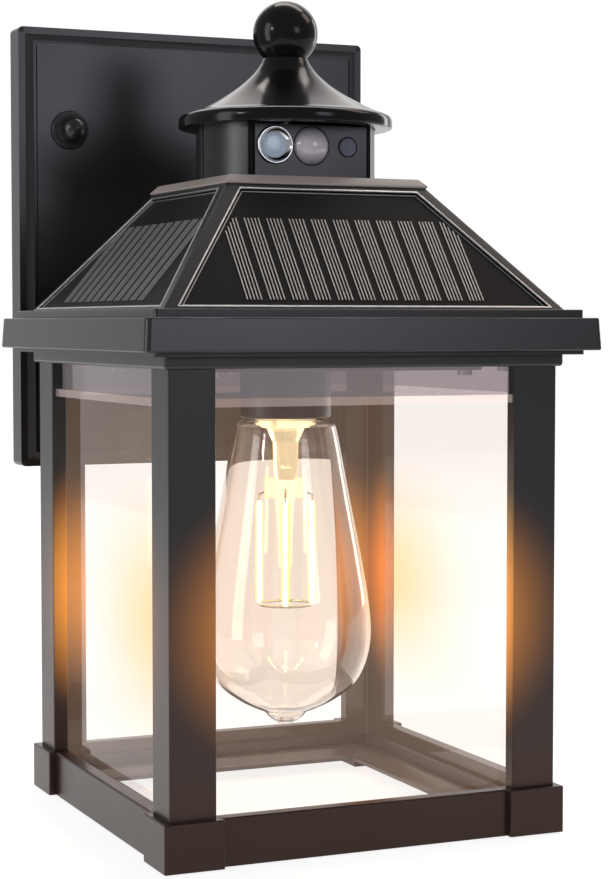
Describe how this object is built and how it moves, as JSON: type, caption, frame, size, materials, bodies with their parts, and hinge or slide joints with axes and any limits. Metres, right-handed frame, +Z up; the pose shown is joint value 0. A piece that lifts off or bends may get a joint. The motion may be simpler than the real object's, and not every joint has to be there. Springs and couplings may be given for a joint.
{
  "type": "outdoor wall lantern",
  "caption": "Square black wall lantern with clear glass sides, a hipped solar roof, a round motion-sensor turret and a screw-in filament bulb, on a rectangular backplate.",
  "frame": {"origin": "middle of the wall crossbar's two-screw pattern, on the wall plane", "axes": "+Z up, -Y away from the wall and out of the lantern's front, +X to the right seen from the front"},
  "size_m": [0.1708, 0.1904, 0.3012],
  "materials": {
    "black_coat": "satin black powder coat",
    "arm_coat": "satin black powder coat on cast metal",
    "steel": "zinc plated",
    "chrome": "bright plated",
    "pane_glass": "clear flat glass",
    "bulb_glass": "clear blown glass",
    "stem_glass": "clear drawn glass",
    "smoked_strip": "smoked translucent strip",
    "solar_black": "dark laminate under clear resin",
    "cell_silver": "fine silver contact lines",
    "panel_edge": "thin bright edging",
    "milky_lens": "milky translucent",
    "window_blue": "pale blue clear",
    "button_plastic": "satin",
    "black_plastic": "moulded",
    "brass": "plain",
    "cap_silver": "drawn shell",
    "vitrite": "black glass insulator",
    "glow": "glowing phosphor",
    "circuit_green": "lacquered board",
    "cell_wrap": "shrink wrap",
    "wire_red": "insulated lead"
  },
  "bodies": {
    "root": {"arm": "arm_coat", "arm_screws": "steel", "backplate": "black_coat", "base_liner": "black_plastic", "base_rail_front": "black_coat", "base_rail_left": "black_coat", "base_rail_rear": "black_coat", "base_rail_right": "black_coat", "battery_cell": "cell_wrap", "battery_holder": "black_plastic", "cap_nuts": "black_coat", "ceiling_plate": "black_coat", "cone_cap": "black_coat", "control_board": "circuit_green", "corner_blocks": "black_coat", "crossbar": "steel", "finial": "black_coat", "head_rails": "smoked_strip", "lampholder": "black_plastic", "mounting_studs": "steel", "pan_screws": "steel", "pane_front": "pane_glass", "pane_left": "pane_glass", "pane_rear": "pane_glass", "pane_right": "pane_glass", "panel_frames": "panel_edge", "photocell": "milky_lens", "photocell_bezel": "chrome", "photocell_window": "window_blue", "pir_lens": "milky_lens", "pir_sensor": "chrome", "post_front_left": "black_coat", "post_front_right": "black_coat", "post_rear_left": "black_coat", "post_rear_right": "black_coat", "post_screws": "steel", "rail_pins": "steel", "roof_screws": "steel", "roof_shell": "black_coat", "sensor_board": "circuit_green", "sensor_panel": "black_coat", "socket_contact": "brass", "socket_shell": "brass", "solar_cells": "cell_silver", "solar_panels": "solar_black", "tact_switch": "black_plastic", "tie_nut": "steel", "tie_rod": "steel", "tray": "black_coat", "turret_front": "black_coat", "turret_rear": "black_coat", "wiring": "wire_red"},
    "button": {"mode_button": "button_plastic"},
    "bulb_lift": {"bulb_contact": "brass"},
    "bulb": {"bulb_envelope": "bulb_glass", "bulb_base": "cap_silver", "bulb_insulator": "vitrite", "bulb_stem": "stem_glass", "filaments": "glow", "filament_supports": "steel"}
  },
  "joints": [
    {"name": "mode_button_press", "type": "slide", "parent": "root", "child": "button", "axis": [0, 1, 0], "range_m": [0, 0.001], "stiffness_N_per_m": 300},
    {"name": "bulb_drop", "type": "slide", "parent": "root", "child": "bulb_lift", "axis": [0, 0, -1], "range_m": [0, 0.0146]},
    {"name": "bulb_turn", "type": "hinge", "parent": "bulb_lift", "child": "bulb", "pos_m": [0, -0.105, 0], "axis": [0, 0, -1], "range_deg": [0, 1440]}
  ],
  "couplings": [
    {"joint": "bulb_drop", "follows": "bulb_turn", "m_per_rad": 0.0005776}
  ]
}
